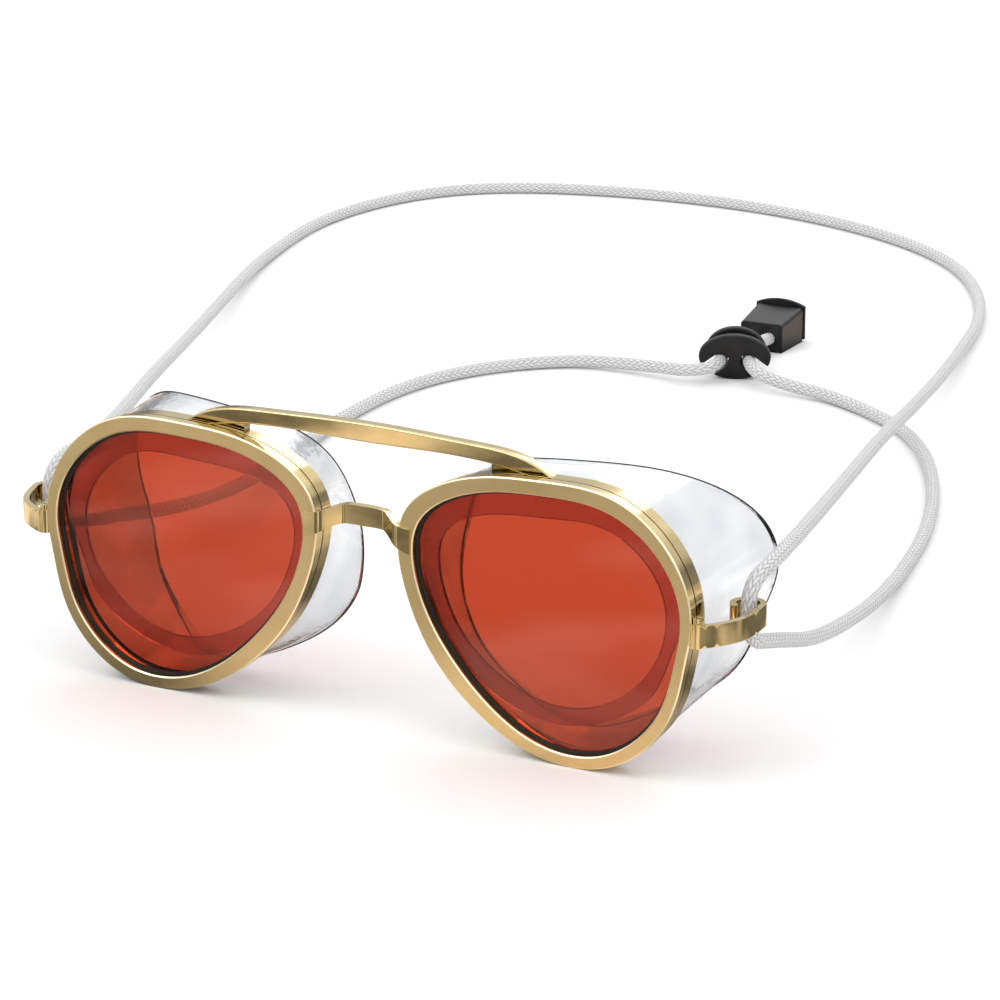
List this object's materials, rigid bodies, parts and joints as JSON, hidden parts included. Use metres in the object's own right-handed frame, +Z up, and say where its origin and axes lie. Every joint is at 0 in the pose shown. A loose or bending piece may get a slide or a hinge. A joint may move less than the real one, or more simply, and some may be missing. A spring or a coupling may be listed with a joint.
{
  "type": "protective goggles",
  "caption": "Gold aviator protective goggles with orange lenses, clear cup side shields, a brow bar and a white braided head cord with a black slider and end stop, standing on the rims.",
  "frame": {"origin": "on the surface the goggles stand on, midway between the two rims and half way through the goggles' depth", "axes": "+X to the wearer's left, -Y the way the lenses face, +Z up"},
  "size_m": [0.2808, 0.4027, 0.0586],
  "materials": {
    "satin_gold": "satin plate",
    "polished_gold": "polished plate",
    "orange_lens": "tinted transparent",
    "black_seal": "matte",
    "clear_flange": "smoky transparent",
    "clear_shield": "clear transparent",
    "cord": "braided",
    "black_plastic": "semi-matte moulded"
  },
  "bodies": {
    "goggles": {"front_ring_left": "satin_gold", "front_ring_right": "satin_gold", "rear_rim_left": "polished_gold", "rear_rim_right": "polished_gold", "brow_bar": "polished_gold", "brow_foot_left": "polished_gold", "brow_foot_right": "polished_gold", "bridge": "polished_gold", "endpiece_left": "polished_gold", "endpiece_right": "polished_gold", "closing_screw_left": "polished_gold", "closing_screw_right": "polished_gold", "lens_left": "orange_lens", "lens_right": "orange_lens", "lens_seal_left": "black_seal", "lens_seal_right": "black_seal", "shield_flange_left": "clear_flange", "shield_flange_right": "clear_flange", "side_shield_left": "clear_shield", "side_shield_right": "clear_shield", "head_cord": "cord", "end_stop_housing": "black_plastic"},
    "slider": {"cord_slider": "black_plastic"},
    "stop_cap": {"end_stop_cap": "black_plastic"}
  },
  "joints": [
    {"name": "slider_slide", "type": "slide", "parent": "goggles", "child": "slider", "axis": [-0.3746, 0.9272, 0], "range_m": [0, 0.0045]},
    {"name": "cap_pull_off", "type": "slide", "parent": "goggles", "child": "stop_cap", "axis": [-0.061, 0.9981, 0], "range_m": [0, 0.012]}
  ]
}
